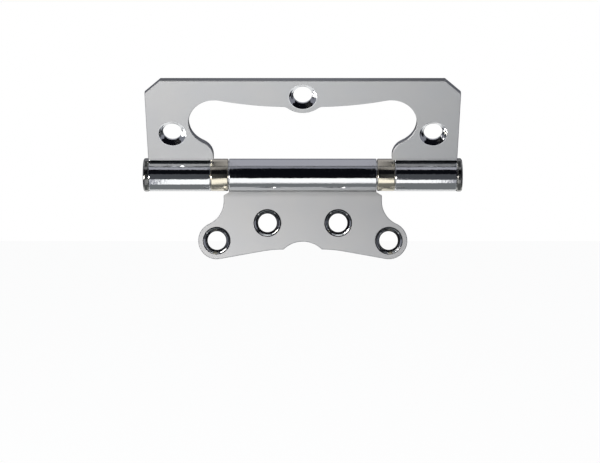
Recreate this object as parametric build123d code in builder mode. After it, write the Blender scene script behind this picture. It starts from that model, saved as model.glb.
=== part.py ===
from build123d import *
from math import atan2, cos, degrees, isclose, radians, sin, sqrt
import os

# A flush door hinge with ball bearings, in millimetres, standing half open.
# The origin is the middle of the pin. X runs along the pin and Z points up.
# The inner leaf hangs straight down; the outer leaf rises and leans towards -Y.

# Sheet, barrel and pose
leaf_length = 125.0
sheet = 2.5
pin_radius = 4.05
pin_clearance = 0.05
bend_radius = 3.8
curl_end_angle = 9.5
edge_break = 0.25
knuckle_end_round = 0.4
outer_leaf_lean = 33.4

# Lengths along the barrel
centre_knuckle_length = 60.0
bearing_width = 7.4

# Screw holes, countersunk on the side that shows when the hinge is open
hole_radius = 3.8
countersink_radius = 5.5
countersink_angle = 90.0

# Inner leaf: distances across from its middle line and away from the pin
neck_half_width = 32.2
neck_corner = 8.4
knuckle_corner = 7.0
hip_radius = 10.0
lobe_hole_x = 35.0
lobe_hole_depth = 26.8
lobe_radius = 7.55
inner_hole_x = 14.4
inner_hole_depth = 19.6
web_depth = 30.4
web_radius = 50.0
arch_half_width = 7.8
arch_height = 3.2

# Outer leaf: its window stands off the inner leaf by these gaps
neck_gap = 3.8
lobe_side_gap = 2.95
lobe_tip_gap = 1.6
arch_gap = 2.87
window_hip_radius = 7.4
window_lobe_radius = 10.4
brow_radius = 140.0
brow_x = 4.7
bump_radius = 9.4
shoulder_radius = 3.0
outer_leaf_depth = 45.0
corner_cut_across = 6.5
corner_cut_along = 6.0
side_hole_x = 52.3
side_hole_depth = 20.4

# End caps, pressed into the outer knuckles
cap_radius = 6.8
cap_thickness = 2.5
cap_dome = 0.4
cap_outer_round = 0.8
cap_inner_round = 0.4
cap_plug_length = 4.0
plug_lead = 0.4
pin_end_play = 0.2
pin_end_bevel = 0.6

# Ball bearings between the knuckles
shell_wall = 0.45
shell_round = 0.4
shell_lip = 0.6
shell_end_gap = 0.3
race_gap = 1.0
race_neck_length = 1.2
race_neck_radius = 5.3
running_gap = 0.1
ball_radius = 0.75
groove_clearance = 0.04
balls_per_bearing = 8
cage_thickness = 0.5
pocket_clearance = 0.05

# Sizes worked out from the ones above
bore_radius = pin_radius + pin_clearance
barrel_radius = bore_radius + sheet
half_length = leaf_length / 2
centre_knuckle_end = centre_knuckle_length / 2
outer_knuckle_start = centre_knuckle_end + bearing_width
past_barrel = barrel_radius + 1.0
lean = radians(outer_leaf_lean)

# Each leaf has a plane through the pin: x across the leaf, y away from the pin
# and z out of the countersunk face.
outer_plane = Plane(origin=(0, 0, 0), x_dir=(1, 0, 0), z_dir=(0, -cos(lean), -sin(lean)))
inner_plane = Plane(origin=(0, 0, 0), x_dir=(-1, 0, 0), z_dir=(0, -1, 0))


def section_plane(leaf_plane):
    """The plane square to the pin, with x away from the pin along a leaf."""
    return Plane(origin=(0, 0, 0), x_dir=leaf_plane.y_dir, z_dir=leaf_plane.x_dir)


def toward(centre, radius, target):
    """The point of a circle that faces a target point."""
    across, along = target[0] - centre[0], target[1] - centre[1]
    reach = sqrt(across**2 + along**2)
    return (centre[0] + radius * across / reach, centre[1] + radius * along / reach)


def arc_about(centre, start, end):
    """The shorter arc about a centre from one point to another."""
    first = degrees(atan2(start[1] - centre[1], start[0] - centre[0]))
    last = degrees(atan2(end[1] - centre[1], end[0] - centre[0]))
    radius = sqrt((start[0] - centre[0]) ** 2 + (start[1] - centre[1]) ** 2)
    return CenterArc(centre, radius, first, (last - first + 180.0) % 360.0 - 180.0)


def touching_both(first, first_reach, second, second_reach):
    """The point at two distances from two centres, on the right of the line between."""
    across, along = second[0] - first[0], second[1] - first[1]
    apart = sqrt(across**2 + along**2)
    foot = (first_reach**2 - second_reach**2 + apart**2) / (2 * apart)
    off = sqrt(first_reach**2 - foot**2)
    return (
        first[0] + (foot * across + off * along) / apart,
        first[1] + (foot * along - off * across) / apart,
    )


def rolled_section(depth):
    """A leaf seen from its end: flat sheet, reverse bend and the curl round the pin."""
    mid_curl = bore_radius + sheet / 2
    mid_bend = bend_radius + sheet / 2
    bend_start = sqrt((mid_curl + mid_bend) ** 2 - mid_bend**2)
    bend_centre = (bend_start, -mid_bend)
    join = degrees(atan2(mid_bend, bend_start))
    curl_turn = 360.0 - join - curl_end_angle
    curl_end = radians(curl_end_angle)
    with BuildLine() as side_view:
        Line((depth, -sheet / 2), (bend_start, -sheet / 2))
        CenterArc(bend_centre, bend_radius, 90.0, 90.0 - join)
        CenterArc((0, 0), barrel_radius, -join, -curl_turn)
        Line(
            (barrel_radius * cos(curl_end), barrel_radius * sin(curl_end)),
            (bore_radius * cos(curl_end), bore_radius * sin(curl_end)),
        )
        CenterArc((0, 0), bore_radius, curl_end_angle, curl_turn)
        CenterArc(bend_centre, bend_radius + sheet, 180.0 - join, join - 90.0)
        Line((bend_start, sheet / 2), (depth, sheet / 2))
        Line((depth, sheet / 2), (depth, -sheet / 2))
    make_face(side_view.edges())


def screw_holes(leaf_plane, places):
    """Countersunk holes through a leaf, sunk from its countersunk face."""
    with Locations(leaf_plane.offset(sheet / 2)):
        with Locations(*places):
            CounterSinkHole(
                radius=hole_radius,
                counter_sink_radius=countersink_radius,
                depth=2 * sheet,
                counter_sink_angle=countersink_angle,
            )


def sheet_edges(leaf, leaf_plane):
    """The stamped edges round both faces of the flat sheet."""
    return leaf.faces().filter_by(leaf_plane).edges()


def rims(turned, radius):
    """The round edges of this radius on a turned piece, from left to right."""
    circles = turned.edges().filter_by(GeomType.CIRCLE)
    return circles.filter_by(lambda edge: isclose(edge.radius, radius)).sort_by(Axis.X)


# Outer leaf: one stamped sheet with a window that the inner leaf folds into,
# and its two ends rolled round the pin.
lobe_centre = (lobe_hole_x, lobe_hole_depth)
window_hip_x = neck_half_width + neck_gap + window_hip_radius
window_lobe = (
    lobe_hole_x + lobe_radius + lobe_side_gap - window_lobe_radius,
    lobe_hole_depth + lobe_radius + lobe_tip_gap - window_lobe_radius,
)
window_hip_reach = window_hip_radius + window_lobe_radius
window_hip = (
    window_hip_x,
    window_lobe[1] - sqrt(window_hip_reach**2 - (window_hip_x - window_lobe[0]) ** 2),
)
brow_reach = brow_radius + window_lobe_radius
brow = (brow_x, window_lobe[1] + sqrt(brow_reach**2 - (window_lobe[0] - brow_x) ** 2))
bump_depth = web_depth - arch_height + arch_gap
bump = (0.0, bump_depth + bump_radius)
top_hole_depth = (bump_depth + outer_leaf_depth) / 2
shoulder = touching_both(
    bump, bump_radius + shoulder_radius, brow, brow_radius + shoulder_radius
)
window_neck = neck_half_width + neck_gap
top_corner = outer_leaf_depth - corner_cut_along

with BuildPart() as outer_leaf:
    with BuildSketch(section_plane(outer_plane)):
        rolled_section(outer_leaf_depth)
    extrude(amount=half_length, both=True)
    with BuildSketch(outer_plane):
        with BuildLine():
            Polyline(
                (0, outer_leaf_depth),
                (half_length - corner_cut_across, outer_leaf_depth),
                (half_length, top_corner),
                (half_length, -past_barrel),
                (outer_knuckle_start, -past_barrel),
                (outer_knuckle_start, knuckle_corner),
                (window_neck, neck_corner),
                (window_neck, window_hip[1]),
            )
            hip_end = toward(window_hip, window_hip_radius, window_lobe)
            arc_about(window_hip, (window_neck, window_hip[1]), hip_end)
            lobe_end = toward(window_lobe, window_lobe_radius, brow)
            arc_about(window_lobe, hip_end, lobe_end)
            brow_end = toward(brow, brow_radius, shoulder)
            arc_about(brow, lobe_end, brow_end)
            shoulder_end = toward(bump, bump_radius, shoulder)
            arc_about(shoulder, brow_end, shoulder_end)
            arc_about(bump, shoulder_end, (0, bump_depth))
            Line((0, bump_depth), (0, outer_leaf_depth))
        make_face()
        mirror(about=Plane.YZ)
    extrude(amount=past_barrel, both=True, mode=Mode.INTERSECT)
    chamfer(sheet_edges(outer_leaf, outer_plane), length=edge_break)
    fillet(rims(outer_leaf, barrel_radius), radius=knuckle_end_round)
    screw_holes(
        outer_plane,
        [(-side_hole_x, side_hole_depth), (side_hole_x, side_hole_depth), (0, top_hole_depth)],
    )

# Inner leaf: one stamped sheet, rolled along its middle into the centre knuckle.
hip_x = neck_half_width + hip_radius
hip = (
    hip_x,
    lobe_hole_depth - sqrt((hip_radius + lobe_radius) ** 2 - (hip_x - lobe_hole_x) ** 2),
)
web = (arch_half_width, web_depth + web_radius)
# The straight edge between web arc and lobe touches both, so it crosses the
# line between their centres at a fixed angle to it.
web_to_lobe = (lobe_centre[0] - web[0], web[1] - lobe_centre[1])
web_apart = sqrt(web_to_lobe[0] ** 2 + web_to_lobe[1] ** 2)
web_slope = atan2(web_to_lobe[0], web_to_lobe[1]) - atan2(
    sqrt(web_apart**2 - (web_radius + lobe_radius) ** 2), web_radius + lobe_radius
)
web_end = (web[0] + web_radius * sin(web_slope), web[1] - web_radius * cos(web_slope))
lobe_tip = (
    lobe_centre[0] - lobe_radius * sin(web_slope),
    lobe_centre[1] + lobe_radius * cos(web_slope),
)
arch_top = web_depth - arch_height
arch = (0.0, arch_top + (arch_half_width**2 + arch_height**2) / (2 * arch_height))

with BuildPart() as inner_leaf:
    with BuildSketch(section_plane(inner_plane)):
        rolled_section(lobe_hole_depth + lobe_radius)
    extrude(amount=half_length, both=True)
    with BuildSketch(inner_plane):
        with BuildLine():
            Polyline(
                (0, arch_top),
                (0, -past_barrel),
                (centre_knuckle_end, -past_barrel),
                (centre_knuckle_end, knuckle_corner),
                (neck_half_width, neck_corner),
                (neck_half_width, hip[1]),
            )
            hip_end = toward(hip, hip_radius, lobe_centre)
            arc_about(hip, (neck_half_width, hip[1]), hip_end)
            arc_about(lobe_centre, hip_end, lobe_tip)
            Line(lobe_tip, web_end)
            arc_about(web, web_end, (arch_half_width, web_depth))
            arc_about(arch, (arch_half_width, web_depth), (0, arch_top))
        make_face()
        mirror(about=Plane.YZ)
    extrude(amount=past_barrel, both=True, mode=Mode.INTERSECT)
    chamfer(sheet_edges(inner_leaf, inner_plane), length=edge_break)
    fillet(rims(inner_leaf, barrel_radius), radius=knuckle_end_round)
    screw_holes(
        inner_plane,
        [
            (-lobe_hole_x, lobe_hole_depth),
            (lobe_hole_x, lobe_hole_depth),
            (-inner_hole_x, inner_hole_depth),
            (inner_hole_x, inner_hole_depth),
        ],
    )

# Hinge pin: a plain steel rod with bevelled ends, kept in by the two caps.
pin_half_length = half_length - cap_plug_length - pin_end_play
with BuildPart() as hinge_pin:
    with BuildSketch(Plane.YZ):
        Circle(pin_radius)
    extrude(amount=pin_half_length, both=True)
    chamfer(hinge_pin.edges().filter_by(GeomType.CIRCLE), length=pin_end_bevel)

# End cap: a turned button with a domed face, and a plug that is pressed into
# the open end of the outer knuckle.
cap_face = half_length + cap_thickness
plug_end = half_length - cap_plug_length
dome_radius = (cap_radius**2 + cap_dome**2) / (2 * cap_dome)
with BuildPart() as end_cap:
    with BuildSketch(Plane.XY):
        with BuildLine():
            Polyline(
                (cap_face, 0),
                (plug_end, 0),
                (plug_end, bore_radius - plug_lead),
                (plug_end + plug_lead, bore_radius),
                (half_length, bore_radius),
                (half_length, cap_radius),
                (cap_face - cap_dome, cap_radius),
            )
            arc_about((cap_face - dome_radius, 0), (cap_face - cap_dome, cap_radius), (cap_face, 0))
        make_face()
    revolve(axis=Axis.X)
    fillet(rims(end_cap, cap_radius)[-1], radius=cap_outer_round)
    fillet(rims(end_cap, cap_radius)[0], radius=cap_inner_round)

# Bearing: two grooved steel races with caged balls between them, in a drawn
# shell. One race turns with the centre knuckle and the other stays with the
# outer knuckle, which carries the shell.
bearing_middle = (centre_knuckle_end + outer_knuckle_start) / 2
race_bore = pin_radius + running_gap
shell_bore = barrel_radius - shell_wall
ball_circle = (race_bore + shell_bore - running_gap) / 2
groove_radius = ball_radius + groove_clearance
shell_start = centre_knuckle_end + shell_end_gap
shell_end = outer_knuckle_start - running_gap


def grooved_race(profile):
    """A washer turned from its half section, with a ball groove in its inner face."""
    with BuildPart() as race:
        with BuildSketch(Plane.XY):
            with BuildLine():
                Polyline(*profile, close=True)
            make_face()
            with Locations((bearing_middle, ball_circle)):
                Circle(groove_radius, mode=Mode.SUBTRACT)
        revolve(axis=Axis.X)
    return race


moving_face = bearing_middle - race_gap / 2
neck_end = centre_knuckle_end + race_neck_length
moving_race = grooved_race(
    [
        (centre_knuckle_end, race_bore),
        (centre_knuckle_end, race_neck_radius),
        (neck_end, race_neck_radius),
        (neck_end, shell_bore - running_gap),
        (moving_face, shell_bore - running_gap),
        (moving_face, race_bore),
    ]
)
fixed_face = bearing_middle + race_gap / 2
fixed_race = grooved_race(
    [
        (fixed_face, race_bore),
        (fixed_face, shell_bore),
        (outer_knuckle_start, shell_bore),
        (outer_knuckle_start, race_bore),
    ]
)

with BuildPart() as bearing_shell:
    with BuildSketch(Plane.XY):
        with BuildLine():
            Polyline(
                (shell_start, race_neck_radius + running_gap),
                (shell_start, barrel_radius),
                (shell_end, barrel_radius),
                (shell_end, shell_bore),
                (shell_start + shell_lip, shell_bore),
                (shell_start + shell_lip, race_neck_radius + running_gap),
                close=True,
            )
        make_face()
    revolve(axis=Axis.X)
    fillet(rims(bearing_shell, barrel_radius), radius=shell_round)

with BuildPart() as ball_cage:
    with BuildSketch(Plane.YZ.offset(bearing_middle)):
        Circle(shell_bore - running_gap)
        Circle(race_bore, mode=Mode.SUBTRACT)
        with PolarLocations(ball_circle, balls_per_bearing):
            Circle(ball_radius + pocket_clearance, mode=Mode.SUBTRACT)
    extrude(amount=cage_thickness / 2, both=True)

balls = []
for place in range(balls_per_bearing):
    turn = radians(360.0 / balls_per_bearing * place)
    with BuildPart() as ball:
        with Locations((bearing_middle, ball_circle * cos(turn), ball_circle * sin(turn))):
            Sphere(ball_radius)
    balls.append(ball)


def save(part, name):
    """Label a finished piece and write its file."""
    part.label = name
    export_step(part, f"parts/{name}.step")


os.makedirs("parts", exist_ok=True)
save(outer_leaf.part, "outer_leaf")
save(inner_leaf.part, "inner_leaf")
save(hinge_pin.part, "hinge_pin")
paired = [
    (end_cap, "end_cap"),
    (bearing_shell, "bearing_shell"),
    (moving_race, "moving_race"),
    (fixed_race, "fixed_race"),
    (ball_cage, "ball_cage"),
]
for piece, name in paired:
    save(piece.part, f"{name}_right")
    save(mirror(piece.part, about=Plane.YZ), f"{name}_left")
for number, ball in enumerate(balls, start=1):
    save(ball.part, f"ball_right_{number}")
    save(mirror(ball.part, about=Plane.YZ), f"ball_left_{number}")
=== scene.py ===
import math

import bpy
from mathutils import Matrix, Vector

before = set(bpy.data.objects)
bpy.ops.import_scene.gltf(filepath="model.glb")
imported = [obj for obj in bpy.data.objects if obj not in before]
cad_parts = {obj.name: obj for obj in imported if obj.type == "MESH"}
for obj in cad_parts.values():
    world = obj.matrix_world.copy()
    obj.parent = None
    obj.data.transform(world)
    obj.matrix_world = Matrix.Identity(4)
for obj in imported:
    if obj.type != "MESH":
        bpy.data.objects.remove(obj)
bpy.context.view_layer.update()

# Outer leaf. Cold-rolled steel sheet, stamped out with its window and screw
# holes, its two ends rolled round the pin, then chromed. The dies burnish the
# rolled ends, the flat of the sheet keeps its satin skin.

outer_leaf_lean = math.radians(33.4)
outer_away = (0.0, -math.sin(outer_leaf_lean), math.cos(outer_leaf_lean))
outer_face = (0.0, -math.cos(outer_leaf_lean), -math.sin(outer_leaf_lean))

# A hole's place is its distance from the middle of the leaf and from the pin.
outer_side_hole = (0.0523, 0.0204)
outer_edge_hole = (0.0, 0.037535)

# Nearer the pin than this, the sheet is knuckle.
outer_burnished_to = 0.0079


def linear(hex_colour):
    """Turn an sRGB hex colour into the linear colour that a shader takes."""
    channels = [int(hex_colour[at:at + 2], 16) / 255 for at in (1, 3, 5)]
    return [c / 12.92 if c <= 0.04045 else ((c + 0.055) / 1.055) ** 2.4 for c in channels] + [1.0]


def add(tree, kind, inputs=None, **settings):
    """Add one node with its settings, its values and its links."""
    made = tree.nodes.new(kind)
    for name, value in settings.items():
        setattr(made, name, value)
    for socket, value in (inputs or {}).items():
        if isinstance(value, bpy.types.NodeSocket):
            tree.links.new(value, made.inputs[socket])
        else:
            made.inputs[socket].default_value = value
    return made


def new_material(name):
    """Make an empty node material and return it with its node tree."""
    material = bpy.data.materials.new(name)
    material.use_nodes = True
    material.node_tree.nodes.clear()
    return material, material.node_tree


def distance_from_pin(tree, point):
    """How far a point of the hinge lies from the pin's axis."""
    off_axis = add(tree, "ShaderNodeVectorMath", {0: point, 1: (0.0, 1.0, 1.0)}, operation="MULTIPLY")
    return add(tree, "ShaderNodeVectorMath", {0: off_axis.outputs[0]}, operation="LENGTH").outputs["Value"]


def countersinks(tree, on_leaf, holes, edge, fade, ring_spacing):
    """Where a drill has cut the leaf round its holes, and the rings that it left there."""
    cut = 0.0
    rings = 0.0
    for hole in holes:
        reach = add(tree, "ShaderNodeVectorMath", {0: on_leaf, 1: (*hole, 0.0)}, operation="DISTANCE")
        reach = reach.outputs["Value"]
        drilled = add(tree, "ShaderNodeMapRange", {"Value": reach, "From Min": edge, "From Max": edge - fade})
        drilled = drilled.outputs["Result"]
        cut = add(tree, "ShaderNodeMath", {0: drilled, 1: cut}, operation="MAXIMUM").outputs[0]
        turn = add(tree, "ShaderNodeMath", {0: reach, 1: 2 * math.pi / ring_spacing}, operation="MULTIPLY")
        ring = add(tree, "ShaderNodeMath", {0: turn.outputs[0]}, operation="SINE").outputs[0]
        ring = add(tree, "ShaderNodeMath", {0: ring, 1: drilled}, operation="MULTIPLY").outputs[0]
        rings = add(tree, "ShaderNodeMath", {0: ring, 1: rings}, operation="ADD").outputs[0]
    return cut, rings


def chromed_sheet(name, away, face, holes, burnished_to):
    """Chromed sheet steel of one leaf, which lies along away and faces face."""
    material, tree = new_material(name)
    place = add(tree, "ShaderNodeTexCoord").outputs
    point = place["Object"]
    axes = add(tree, "ShaderNodeSeparateXYZ", {"Vector": point})
    across = add(tree, "ShaderNodeMath", {0: axes.outputs["X"]}, operation="ABSOLUTE").outputs[0]
    along = add(tree, "ShaderNodeVectorMath", {0: point, 1: away}, operation="DOT_PRODUCT").outputs["Value"]
    on_leaf = add(tree, "ShaderNodeCombineXYZ", {"X": across, "Y": along}).outputs[0]

    # Burnished: the knuckles, and the countersinks that a drill has cut. They are
    # bright and mirror like glass. The drill's rings are really finer, and are drawn
    # 1.1 mm apart so that they show.
    fade = 0.0002
    rolled = add(tree, "ShaderNodeMapRange",
                 {"Value": distance_from_pin(tree, point),
                  "From Min": burnished_to, "From Max": burnished_to - fade},
                 interpolation_type="SMOOTHSTEP").outputs["Result"]
    countersink_edge = 0.00575
    cut, rings = countersinks(tree, on_leaf, holes, countersink_edge, fade, ring_spacing=0.0011)
    burnished = add(tree, "ShaderNodeMath", {0: rolled, 1: cut}, operation="MAXIMUM").outputs[0]
    plain = add(tree, "ShaderNodeMath", {0: 1.0, 1: burnished}, operation="SUBTRACT").outputs[0]

    # Sheared: the stamped walls of the outline, which stand square to the face. They are rougher than it,
    # and their colour is painted darker than it, as painted shade.
    facing = add(tree, "ShaderNodeVectorMath", {0: place["Normal"], 1: face}, operation="DOT_PRODUCT")
    turned = add(tree, "ShaderNodeMath", {0: facing.outputs["Value"]}, operation="ABSOLUTE").outputs[0]
    wall = add(tree, "ShaderNodeMapRange", {"Value": turned, "From Min": 0.80, "From Max": 0.55})
    sheared_and_shaded = add(tree, "ShaderNodeMath", {0: wall.outputs["Result"], 1: plain},
                  operation="MULTIPLY").outputs[0]

    # The sheet keeps the mill's fine grain, drawn at 0.5 mm so that it shows at all.
    # On the knuckles the chrome lies a little uneven, at 1.2 mm. A faint cloud of
    # 12 mm varies the tint and the sheen of the flat a little.
    grain_width = 0.0005
    dapple_width = 0.0012
    cloud_width = 0.012
    grain = add(tree, "ShaderNodeTexNoise",
                {"Vector": point, "Scale": 1 / grain_width, "Detail": 3.0, "Roughness": 0.6}).outputs["Fac"]
    dapple = add(tree, "ShaderNodeTexNoise",
                 {"Vector": point, "Scale": 1 / dapple_width, "Detail": 2.0}).outputs["Fac"]
    cloud = add(tree, "ShaderNodeTexNoise",
                {"Vector": point, "Scale": 1 / cloud_width, "Detail": 2.0}).outputs["Fac"]

    # A Mix node's sockets 2 and 3 hold numbers, and 6 and 7 hold colours.
    satin = add(tree, "ShaderNodeMapRange",
                {"Value": cloud, "From Min": 0.3, "From Max": 0.7, "To Min": 0.655, "To Max": 0.675})
    skin = add(tree, "ShaderNodeMix", {"Factor": sheared_and_shaded, 2: satin.outputs["Result"], 3: 0.32}).outputs[0]
    roughness = add(tree, "ShaderNodeMix", {"Factor": burnished, 2: skin, 3: 0.08}).outputs[0]
    tint = add(tree, "ShaderNodeMix", {"Factor": cloud, 6: linear("#D6D9DC"), 7: linear("#DEDFDF")},
               data_type="RGBA").outputs[2]
    # Painted shade: the stamped walls get a darker grey than the face.
    colour = add(tree, "ShaderNodeMix", {"Factor": sheared_and_shaded, 6: tint, 7: linear("#8F9194")},
                 data_type="RGBA").outputs[2]

    unevenness = 0.00004
    ring_depth = 0.00001
    height = add(tree, "ShaderNodeMix", {"Factor": rolled, 2: grain, 3: dapple}).outputs[0]
    relief = add(tree, "ShaderNodeMix", {"Factor": plain, 2: 0.0, 3: 0.05}).outputs[0]
    relief = add(tree, "ShaderNodeMix", {"Factor": rolled, 2: relief, 3: 0.7}).outputs[0]
    bump = add(tree, "ShaderNodeBump", {"Strength": relief, "Distance": unevenness, "Height": height})
    grooved = add(tree, "ShaderNodeBump",
                  {"Strength": 1.0, "Distance": ring_depth, "Height": rings, "Normal": bump.outputs[0]})
    surface = add(tree, "ShaderNodeBsdfPrincipled",
                  {"Base Color": colour, "Metallic": 1.0, "Roughness": roughness,
                   "Normal": grooved.outputs[0]})
    add(tree, "ShaderNodeOutputMaterial", {"Surface": surface.outputs[0]})
    return material


def dress(node, material):
    """Give a CAD node its finish."""
    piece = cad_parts[node]
    for slot in piece.material_slots:
        slot.material = material


# Satin chrome gives a soft sheen without a clear image, a shade cooler than white.
outer_chrome = chromed_sheet("satin chromed sheet, outer leaf", outer_away, outer_face,
                             (outer_side_hole, outer_edge_hole), outer_burnished_to)
dress("outer_leaf", outer_chrome)

# Inner leaf. The same sheet, stamped to fit the window, its middle rolled into
# the long knuckle, and chromed with its mate.

inner_away = (0.0, 0.0, -1.0)
inner_face = (0.0, -1.0, 0.0)
inner_lobe_hole = (0.035, 0.0268)
inner_middle_hole = (0.0144, 0.0196)
inner_burnished_to = 0.0068

# The same satin chrome as on its mate, mapped along this leaf.
inner_chrome = chromed_sheet("satin chromed sheet, inner leaf", inner_away, inner_face,
                             (inner_lobe_hole, inner_middle_hole), inner_burnished_to)
dress("inner_leaf", inner_chrome)

# Hinge pin and bearing parts. Ground steel rod and washers, lapped balls and a
# stamped brass cage, all hidden inside the barrel once it is put together.

balls_in_a_bearing = 8


def turned_metal(name, hex_colour, roughness, line_width, line_depth):
    """A metal turned or ground about the pin, with its fine tool lines round it."""
    material, tree = new_material(name)
    point = add(tree, "ShaderNodeTexCoord").outputs["Object"]
    along = add(tree, "ShaderNodeSeparateXYZ", {"Vector": point}).outputs["X"]
    profile = add(tree, "ShaderNodeCombineXYZ", {"X": along, "Y": distance_from_pin(tree, point)}).outputs[0]
    lines = add(tree, "ShaderNodeTexNoise",
                {"Vector": profile, "Scale": 1 / line_width, "Detail": 2.0}).outputs["Fac"]
    smear = add(tree, "ShaderNodeMapRange",
                {"Value": lines, "From Min": 0.3, "From Max": 0.7,
                 "To Min": roughness * 0.85, "To Max": roughness * 1.2}).outputs["Result"]
    bump = add(tree, "ShaderNodeBump", {"Strength": 0.3, "Distance": line_depth, "Height": lines})
    surface = add(tree, "ShaderNodeBsdfPrincipled",
                  {"Base Color": linear(hex_colour), "Metallic": 1.0, "Roughness": smear,
                   "Normal": bump.outputs[0]})
    add(tree, "ShaderNodeOutputMaterial", {"Surface": surface.outputs[0]})
    return material


# Ground steel has a dull gleam and fine lines round it, brass is warm and soft, and
# lapped steel mirrors almost without a blur.
ground_steel = turned_metal("ground steel", "#C9CBCD", roughness=0.22, line_width=0.0002,
                            line_depth=0.000004)
stamped_brass = turned_metal("stamped brass", "#D9B66B", roughness=0.3, line_width=0.0003,
                             line_depth=0.000004)
lapped_steel = turned_metal("lapped bearing steel", "#D8D9DA", roughness=0.06, line_width=0.0003,
                            line_depth=0.000001)
dress("hinge_pin", ground_steel)
for side in ("left", "right"):
    dress(f"moving_race_{side}", ground_steel)
    dress(f"fixed_race_{side}", ground_steel)
    dress(f"ball_cage_{side}", stamped_brass)
    for number in range(1, balls_in_a_bearing + 1):
        dress(f"ball_{side}_{number}", lapped_steel)

# Bearing shells. Steel cups, drawn in a press, plated in nickel, and pushed on
# over the races between the knuckles.

# Nickel looks a little creamier than the chrome beside it, with faint lines from
# the drawing.
drawn_nickel = turned_metal("drawn nickel-plated steel", "#DCD6C4", roughness=0.12, line_width=0.0004,
                            line_depth=0.000003)
for side in ("left", "right"):
    dress(f"bearing_shell_{side}", drawn_nickel)

# End caps. Buttons turned from steel bar, domed, chromed, and pressed with a plug
# into the open ends of the outer knuckles.

# Chrome over tool lines is bright but streaked. It is coloured darker than bare chrome as painted shade,
# because the caps look darker than the leaves in the photograph.
turned_chrome_shaded_dark = turned_metal("turned chromed steel, painted dark for shade", "#969692", roughness=0.14, line_width=0.0004,
                             line_depth=0.000004)
for side in ("left", "right"):
    dress(f"end_cap_{side}", turned_chrome_shaded_dark)

# Studio. A white sweep far below the hinge, a white room, soft lamps, and dark
# and grey cards round the hinge that give the chrome something to mirror.

floor_drop = 0.18
floor_half = 4.0


def seen_directly(tree):
    """One for rays from the camera or by way of metal or glass, and nothing for light on the hinge."""
    rays = add(tree, "ShaderNodeLightPath").outputs
    seen = add(tree, "ShaderNodeMath", {0: rays["Is Camera Ray"], 1: rays["Is Glossy Ray"]}, operation="ADD")
    return add(tree, "ShaderNodeMath", {0: seen.outputs[0], 1: rays["Is Transmission Ray"]},
               operation="ADD", use_clamp=True).outputs[0]


world = bpy.data.worlds.new("white room")
bpy.context.scene.world = world
world.use_nodes = True
room = world.node_tree
room.nodes.clear()
daylight = add(room, "ShaderNodeBackground", {"Color": linear("#F2F4F7"), "Strength": 0.85}).outputs[0]
white = add(room, "ShaderNodeBackground", {"Color": linear("#FFFFFF"), "Strength": 1.0}).outputs[0]
sky = add(room, "ShaderNodeMixShader", {0: seen_directly(room), 1: daylight, 2: white}).outputs[0]
add(room, "ShaderNodeOutputWorld", {"Surface": sky})


def patch(name, corners, material):
    """A flat or bent sheet of the studio through rows of corners."""
    mesh = bpy.data.meshes.new(name)
    rows, columns = len(corners), len(corners[0])
    faces = [(r * columns + c, r * columns + c + 1, (r + 1) * columns + c + 1, (r + 1) * columns + c)
             for r in range(rows - 1) for c in range(columns - 1)]
    mesh.from_pydata([corner for row in corners for corner in row], [], faces)
    mesh.materials.append(material)
    piece = bpy.data.objects.new(name, mesh)
    bpy.context.scene.collection.objects.link(piece)
    return piece


# Matt vinyl is even and without gloss. It shows mostly as plain white, and the rest
# takes the light, which keeps a little of the hinge's shadow.
plain_white_share = 0.90
sweep_vinyl, vinyl = new_material("matt white vinyl")
share = add(vinyl, "ShaderNodeMath", {0: seen_directly(vinyl), 1: plain_white_share}, operation="MULTIPLY")
lit = add(vinyl, "ShaderNodeBsdfDiffuse", {"Color": linear("#F4F4F4")}).outputs[0]
glow = add(vinyl, "ShaderNodeEmission", {"Color": linear("#FFFFFF"), "Strength": 1.0}).outputs[0]
surface = add(vinyl, "ShaderNodeMixShader", {0: share.outputs[0], 1: lit, 2: glow}).outputs[0]
add(vinyl, "ShaderNodeOutputMaterial", {"Surface": surface})
floor_edges = (-floor_half, floor_half)
patch("studio_floor", [[(x, y, -floor_drop) for x in floor_edges] for y in floor_edges], sweep_vinyl)


def card_material(name, hex_colour, strength=1.0):
    """Matt card that looks the same whatever light falls on it."""
    material, tree = new_material(name)
    flat = add(tree, "ShaderNodeEmission", {"Color": linear(hex_colour), "Strength": strength}).outputs[0]
    add(tree, "ShaderNodeOutputMaterial", {"Surface": flat})
    return material


def mirrored_only(piece):
    """Let a card show in the metal, and neither to the camera nor as light or shadow."""
    piece.visible_camera = False
    piece.visible_diffuse = False
    piece.visible_shadow = False


def angles(first, last):
    """Even steps between two angles in degrees, as radians."""
    steps = 12
    return [math.radians(first + (last - first) * step / steps) for step in range(steps + 1)]


def card(name, material, azimuths, elevations, distance):
    """A bent card round the hinge, between two azimuths and two elevations in degrees."""
    rows = [[(distance * math.cos(up) * math.sin(turn), -distance * math.cos(up) * math.cos(turn),
              distance * math.sin(up)) for turn in angles(*azimuths)] for up in angles(*elevations)]
    mirrored_only(patch(name, rows, material))


def board(name, material, reach, elevations, distance):
    """A bent board along the barrel, between two places across and two elevations in degrees."""
    rows = [[(x, -distance * math.cos(up), distance * math.sin(up)) for x in reach]
            for up in angles(*elevations)]
    mirrored_only(patch(name, rows, material))


# Velvet and card keep one even tone, so that the bands they make in the chrome have
# clean edges. The lit strip is brighter than the white room, as a soft box is.
black_card = card_material("black velvet card", "#0C0D12")
grey_card = card_material("grey card", "#B4B4BC")
dim_card = card_material("dim grey card", "#8C8D96")
low_card = card_material("charcoal card", "#7E8183")
dark_card = card_material("dark grey card", "#505256")
strip_card = card_material("lit white strip", "#FFFFFF", strength=1.4)

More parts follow.
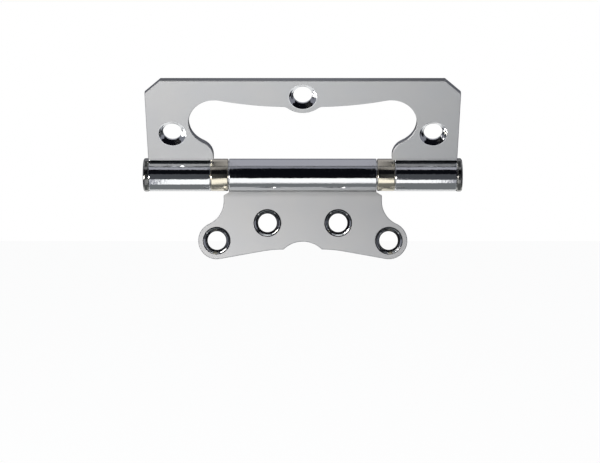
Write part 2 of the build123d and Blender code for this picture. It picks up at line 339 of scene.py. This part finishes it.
# The ring of cards stands half a metre off, from just above the floor.
ring = 0.50
ring_foot, ring_top = -21, 36
back_black_top, back_top = 12, 46
card("ring_front", black_card, (-62, 62), (ring_foot, ring_top), ring)
card("ring_left", dim_card, (-118, -62), (ring_foot, ring_top), ring)
card("ring_right", dim_card, (62, 118), (ring_foot, ring_top), ring)
card("ring_back", black_card, (118, 242), (ring_foot, back_black_top), ring)
card("ring_back_dim", dim_card, (118, 242), (back_black_top, back_top), ring)
card("top_front", grey_card, (-90, 90), (ring_top, 90), ring)
card("top_back", grey_card, (90, 270), (back_top, 90), ring)

# Boards nearer the barrel: first those that the middle knuckle mirrors, then those
# that each end of the barrel and its cap mirror. The low ones stay above the floor.
near, low, skirt = 0.30, 0.17, 0.22
middle_half, middle_low_half = 0.048, 0.0417
middle = (-middle_half, middle_half)
middle_low = (-middle_low_half, middle_low_half)
middle_strip_top = -24.5
board("middle_black", black_card, middle, (middle_strip_top, 46), near)
board("middle_dim", dim_card, middle, (46, 66), near)
board("middle_strip", strip_card, middle_low, (-54, middle_strip_top), low)
board("middle_low", low_card, middle_low, (-100, -62), low)

end_reach, cap_start, cap_reach = 0.15, 0.072, 0.12
skirt_middle, skirt_half = 75, 35
for side, way, strip_top, strip_end in (("left", -1, -33, -70), ("right", 1, -36, -58)):
    end = (middle_half * way, end_reach * way)
    skirt_span = (skirt_middle * way - skirt_half, skirt_middle * way + skirt_half)
    card(f"{side}_skirt", dark_card, skirt_span, (-50, -18), skirt)
    board(f"{side}_black", black_card, end, (4, 28), near)
    board(f"{side}_dark", dark_card, end, (strip_top, 4), near)
    board(f"{side}_shade", dark_card, end, (54, 110), near)
    board(f"{side}_strip", strip_card, (middle_low_half * way, cap_start * way), (strip_end, strip_top), low)
    board(f"{side}_cap_strip", grey_card, (cap_start * way, cap_reach * way), (strip_end - 2, strip_top), low)
    board(f"{side}_low", low_card, (middle_low_half * way, cap_reach * way), (-130, strip_end - 2), low)


def soft_lamp(name, place, size, watts, hex_colour):
    """A soft box that faces the middle of the barrel."""
    light = bpy.data.lights.new(name, "AREA")
    light.shape = "RECTANGLE"
    light.size, light.size_y = size
    light.energy = watts
    light.color = linear(hex_colour)[:3]
    lamp = bpy.data.objects.new(name, light)
    lamp.location = place
    lamp.rotation_euler = (-Vector(place)).to_track_quat("-Z", "Y").to_euler()
    lamp.visible_camera = False
    bpy.context.scene.collection.objects.link(lamp)


soft_lamp("lamp_left", (-0.75, -0.75, 0.45), (0.6, 0.6), watts=2.0, hex_colour="#FFFDF8")
soft_lamp("lamp_side", (-0.285, -0.285, -0.10), (0.28, 0.09), watts=1.12, hex_colour="#FFFAF6")
soft_lamp("lamp_top", (-0.5, -0.1, 1.2), (0.6, 0.6), watts=4.0, hex_colour="#FFFFFF")

# Camera. Level with the barrel and square to it, where the photograph was taken.
# The distance and the focal length fit the hinge's outline there.

camera_distance = 0.705
focal_pixels = 1730.0
image_width, image_height = 600, 463
barrel_pixel = (302.75, 174.8)
sensor = 36.0
camera_data = bpy.data.cameras.new("camera")
camera_data.sensor_width = sensor
camera_data.lens = sensor * focal_pixels / image_width
camera_data.shift_x = (image_width / 2 - barrel_pixel[0]) / image_width
camera_data.shift_y = (barrel_pixel[1] - image_height / 2) / image_width
camera_data.clip_start = 0.01
camera = bpy.data.objects.new("camera", camera_data)
camera.location = (0.0, -camera_distance, 0.0)
camera.rotation_euler = (math.pi / 2, 0.0, 0.0)
bpy.context.scene.collection.objects.link(camera)
bpy.context.scene.camera = camera
bpy.context.scene.view_settings.view_transform = "Standard"
